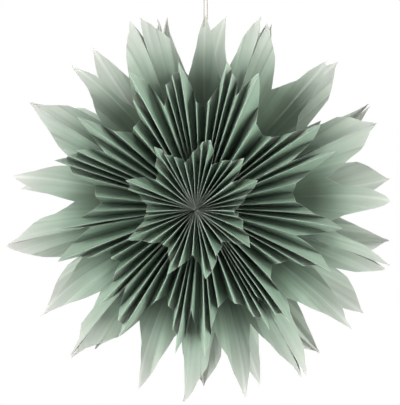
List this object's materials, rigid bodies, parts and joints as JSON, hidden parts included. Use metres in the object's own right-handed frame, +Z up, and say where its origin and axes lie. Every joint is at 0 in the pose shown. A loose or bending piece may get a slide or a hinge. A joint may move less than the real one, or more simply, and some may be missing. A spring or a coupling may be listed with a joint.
{
  "type": "paper christmas star",
  "caption": "Hanging star of folded paper: long gusseted bags glued into a ring, tiers of shorter pleated crowns on both sides, and a twine loop.",
  "frame": {"origin": "inside the top of the twine loop, where a hook or nail carries the star", "axes": "+Z up along the pull of the loop, -Y out of the star's front, +X to the right seen from the front"},
  "size_m": [0.5901, 0.2118, 0.6338],
  "materials": {
    "star_paper": "matt",
    "twine": "matt"
  },
  "bodies": {
    "root": {"long_bag_1": "star_paper", "long_bag_2": "star_paper", "long_bag_3": "star_paper", "long_bag_4": "star_paper", "long_bag_5": "star_paper", "long_bag_6": "star_paper", "long_bag_7": "star_paper", "long_bag_8": "star_paper", "long_bag_9": "star_paper", "front_middle_crown_1": "star_paper", "front_middle_crown_2": "star_paper", "front_middle_crown_3": "star_paper", "front_middle_crown_4": "star_paper", "front_middle_crown_5": "star_paper", "front_middle_crown_6": "star_paper", "front_middle_crown_7": "star_paper", "front_middle_crown_8": "star_paper", "front_middle_crown_9": "star_paper", "front_short_crown_1": "star_paper", "front_short_crown_2": "star_paper", "front_short_crown_3": "star_paper", "front_short_crown_4": "star_paper", "front_short_crown_5": "star_paper", "front_short_crown_6": "star_paper", "front_short_crown_7": "star_paper", "front_short_crown_8": "star_paper", "front_short_crown_9": "star_paper", "back_middle_crown_1": "star_paper", "back_middle_crown_2": "star_paper", "back_middle_crown_3": "star_paper", "back_middle_crown_4": "star_paper", "back_middle_crown_5": "star_paper", "back_middle_crown_6": "star_paper", "back_middle_crown_7": "star_paper", "back_middle_crown_8": "star_paper", "back_middle_crown_9": "star_paper", "back_short_crown_1": "star_paper", "back_short_crown_2": "star_paper", "back_short_crown_3": "star_paper", "back_short_crown_4": "star_paper", "back_short_crown_5": "star_paper", "back_short_crown_6": "star_paper", "back_short_crown_7": "star_paper", "back_short_crown_8": "star_paper", "back_short_crown_9": "star_paper", "hanging_twine": "twine"}
  },
  "joints": []
}
